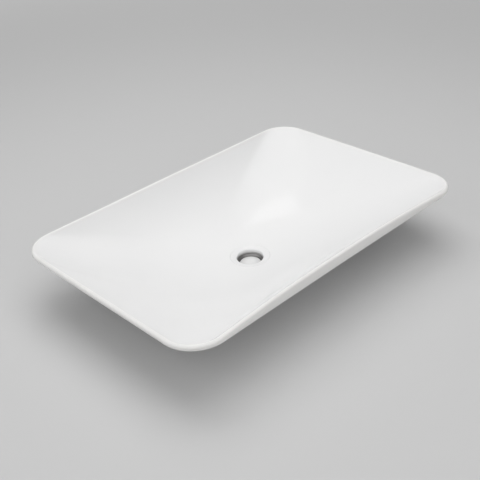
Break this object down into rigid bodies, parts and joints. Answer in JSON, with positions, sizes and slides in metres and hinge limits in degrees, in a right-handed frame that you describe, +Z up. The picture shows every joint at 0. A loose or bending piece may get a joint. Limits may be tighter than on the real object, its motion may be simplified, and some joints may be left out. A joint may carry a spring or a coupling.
{
  "type": "countertop basin",
  "caption": "Wide shallow rectangular ceramic basin with rounded corners and a thin rim, to stand on a counter, with a central inset push-to-open plug waste.",
  "frame": {"origin": "on the drain's axis, in the plane of the counter's top that the foot rests on", "axes": "+Z up along the drain, +X along the long side of the rim, +Y across it"},
  "size_m": [0.6, 0.4046, 0.17],
  "materials": {
    "white_glaze": "smooth glossy white glaze",
    "white_coat": "white coating over cast brass",
    "black_rubber": "matt black rubber",
    "brass": "turned brass",
    "steel": "drawn stainless steel",
    "white_resin": "moulded white plastic"
  },
  "bodies": {
    "basin": {"basin_shell": "white_glaze", "flange_gasket": "black_rubber", "waste_body": "white_coat", "click_spring": "steel", "cartridge_housing": "white_resin", "cartridge_cap": "white_resin", "stem_wiper": "black_rubber", "cone_washer": "black_rubber", "slip_washer": "white_resin", "backnut": "brass"},
    "plug": {"plug_face": "white_glaze", "plug_carrier": "brass", "plug_seal": "black_rubber", "plunger_stem": "steel", "index_ring": "white_resin"}
  },
  "joints": [
    {"name": "plug_slide", "type": "slide", "parent": "basin", "child": "plug", "axis": [0, 0, 1], "range_m": [0, 0.008], "deforming": ["click_spring"]}
  ]
}
